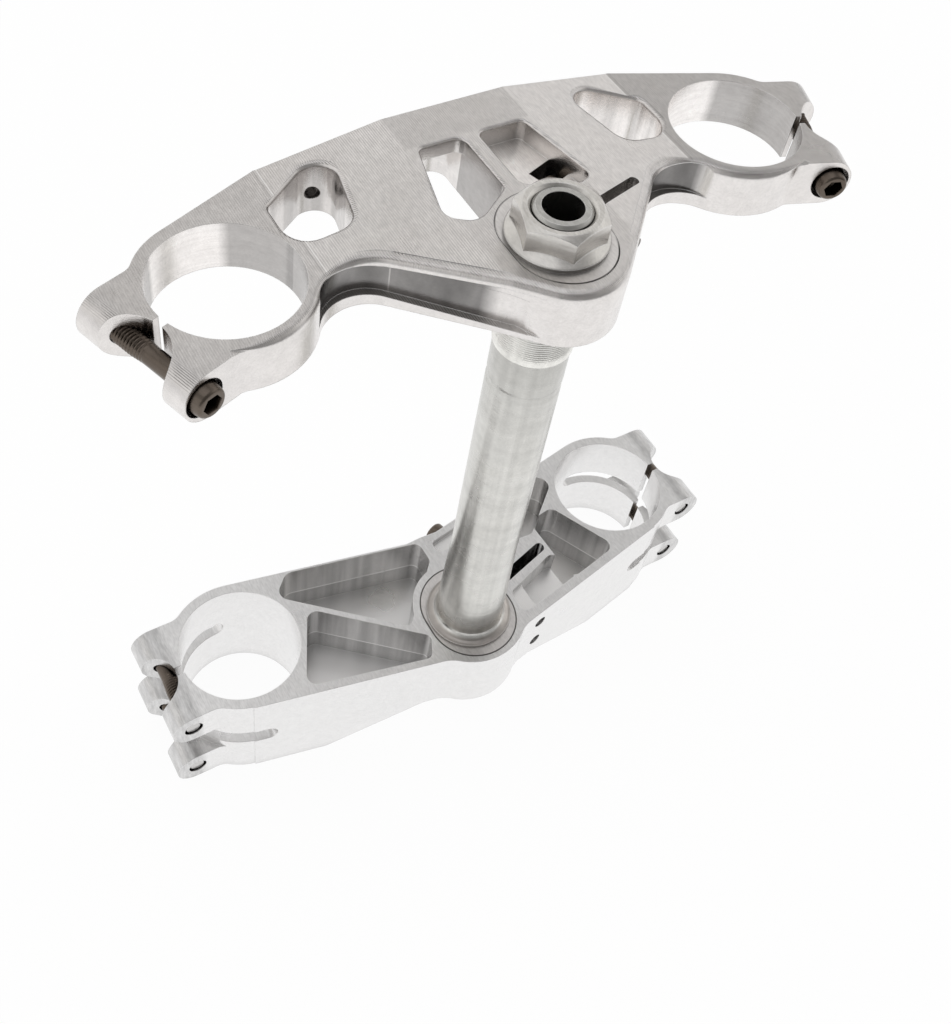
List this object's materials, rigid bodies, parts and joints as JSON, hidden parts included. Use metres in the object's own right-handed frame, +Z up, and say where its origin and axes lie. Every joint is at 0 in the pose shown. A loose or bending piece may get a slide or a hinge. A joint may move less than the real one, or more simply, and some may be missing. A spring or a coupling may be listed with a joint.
{
  "type": "motorcycle triple clamp",
  "caption": "Motorcycle triple clamp: upper and lower billet fork clamps joined by a hollow steering stem, with pinch bolts, inserts and a stem nut.",
  "frame": {"origin": "middle of the assembly's bounding box at its base, on the plane of the lower fork rings' undersides", "axes": "+Z up along the steering stem, +Y towards the front wheel (straight ahead), +X across the forks to the right as seen from the rider's side; the rider's side is -Y"},
  "size_m": [0.2906, 0.101, 0.3022],
  "materials": {
    "clamp": "machined, fine tooling lines",
    "insert": "machined",
    "nut": "turned",
    "stem": "turned, satin",
    "bolt": "dark, slightly brown"
  },
  "bodies": {
    "root": {"upper_clamp": "clamp", "upper_insert": "insert", "stem_nut": "nut", "steering_stem": "stem", "lower_clamp": "clamp", "lower_insert": "insert", "upper_pinch_bolt_left": "bolt", "upper_pinch_bolt_right": "bolt", "upper_insert_bolt": "bolt", "lower_pinch_bolt_left_top": "bolt", "lower_pinch_bolt_left_bottom": "bolt", "lower_pinch_bolt_right_top": "bolt", "lower_pinch_bolt_right_bottom": "bolt", "lower_insert_bolt_top": "bolt", "lower_insert_bolt_bottom": "bolt"}
  },
  "joints": []
}
